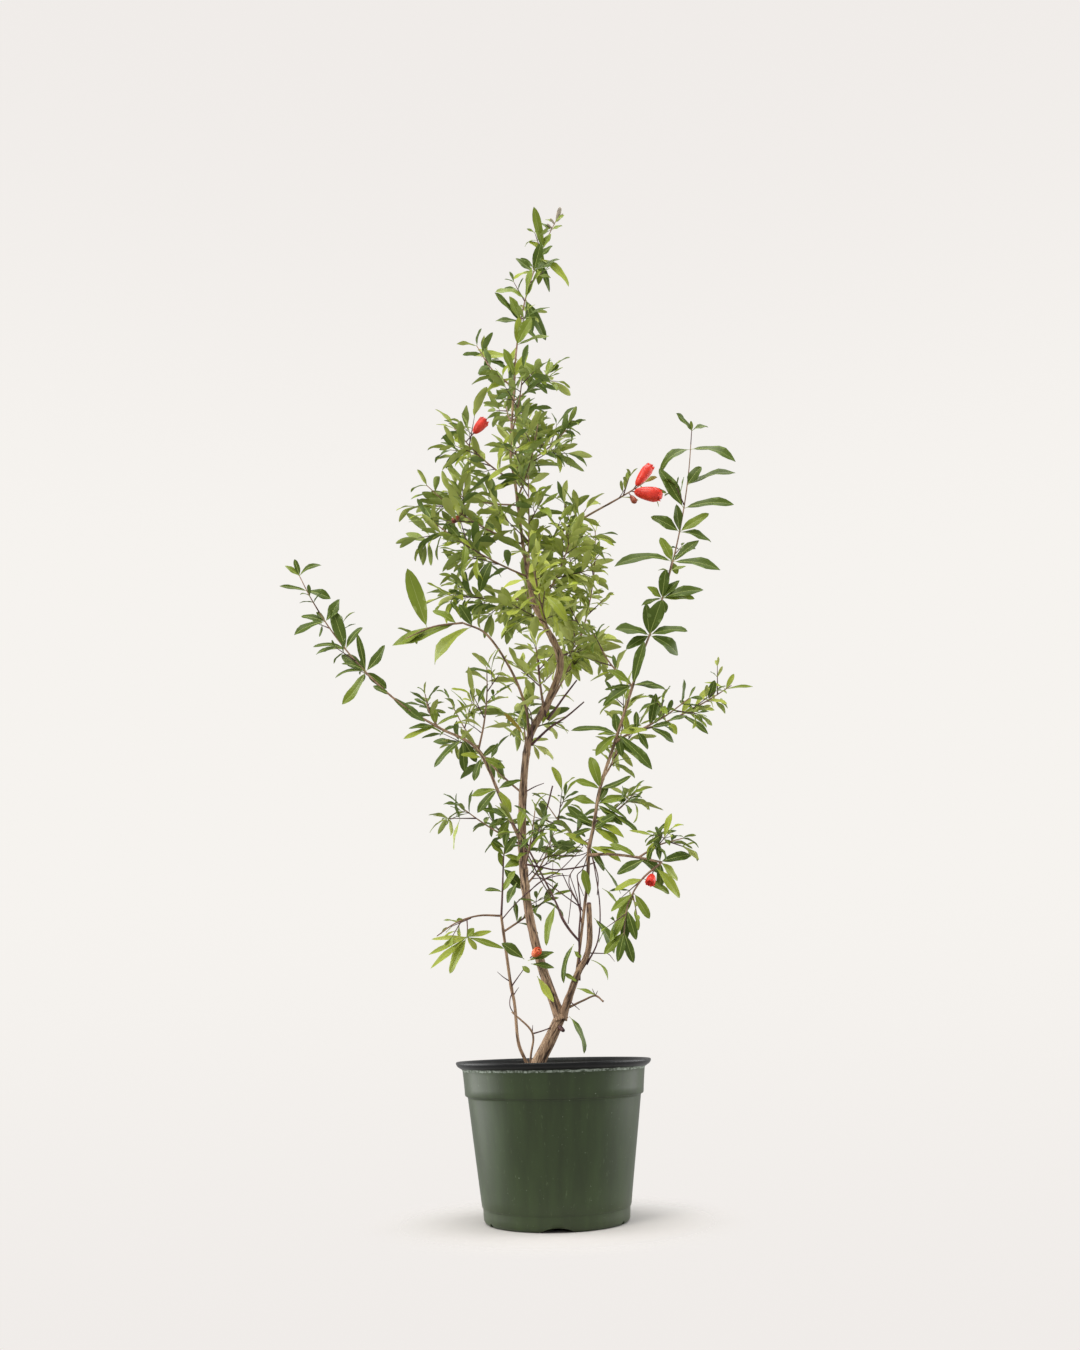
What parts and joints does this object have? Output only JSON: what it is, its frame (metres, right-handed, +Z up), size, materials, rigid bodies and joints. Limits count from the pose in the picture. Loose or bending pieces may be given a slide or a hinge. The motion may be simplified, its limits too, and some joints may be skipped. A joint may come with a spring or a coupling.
{
  "type": "pomegranate tree in a nursery pot",
  "caption": "Young multi-stemmed pomegranate tree in flower, open and upright, with long side shoots, growing in a round green nursery pot.",
  "frame": {"origin": "centre of the pot's flat underside", "axes": "+Z up along the pot's axis, -Y towards the front of the plant, +X to its right as seen from the front"},
  "size_m": [0.6699, 0.3014, 1.5157],
  "materials": {
    "pot": "satin injection-moulded plastic",
    "soil": "moist potting soil of bark and peat",
    "bark": "fissured bark",
    "foliage": "glossy leaves on thin twigs"
  },
  "bodies": {
    "root": {"pot": "pot", "soil": "soil", "trunk": "bark", "left_sucker": "bark", "leader": "bark", "right_stem": "bark", "right_shoot": "bark", "long_left_bough": "bark", "front_left_bough": "bark", "flower_bough": "bark", "low_right_bough": "bark", "middle_right_bough": "bark", "base_twig": "bark", "fork_twig": "bark", "big_leaf_spray": "foliage", "crown_back": "foliage", "crown_back_low": "foliage", "crown_front": "foliage", "crown_front_low": "foliage", "crown_left_back": "foliage", "crown_left_front": "foliage", "crown_left_high": "foliage", "crown_left_low": "foliage", "crown_right": "foliage", "crown_right_back": "foliage", "crown_right_front": "foliage", "crown_upper_back": "foliage", "crown_upper_front": "foliage", "crown_upper_left": "foliage", "crown_upper_right": "foliage", "flower_spray": "foliage", "fork_back_shoot": "foliage", "fork_right_shoot": "foliage", "front_shoot": "foliage", "hanging_shoot": "foliage", "inner_low_shoot": "foliage", "long_bough_middle": "foliage", "long_bough_shoot": "foliage", "long_bough_tip": "foliage", "low_right_spray": "foliage", "low_right_tips": "foliage", "lower_back_shoot": "foliage", "lower_front_shoot": "foliage", "lower_left_shoot": "foliage", "middle_left_shoot": "foliage", "middle_right_low": "foliage", "middle_right_spray": "foliage", "right_shoot_back": "foliage", "right_shoot_inner": "foliage", "right_shoot_low": "foliage", "sucker_bud_spray": "foliage", "sucker_left_spray": "foliage", "sucker_right_spray": "foliage", "tall_right_shoot": "foliage", "top_back_spray": "foliage", "top_front_spray": "foliage", "top_left_spray": "foliage", "top_right_spray": "foliage", "top_spire": "foliage"}
  },
  "joints": []
}
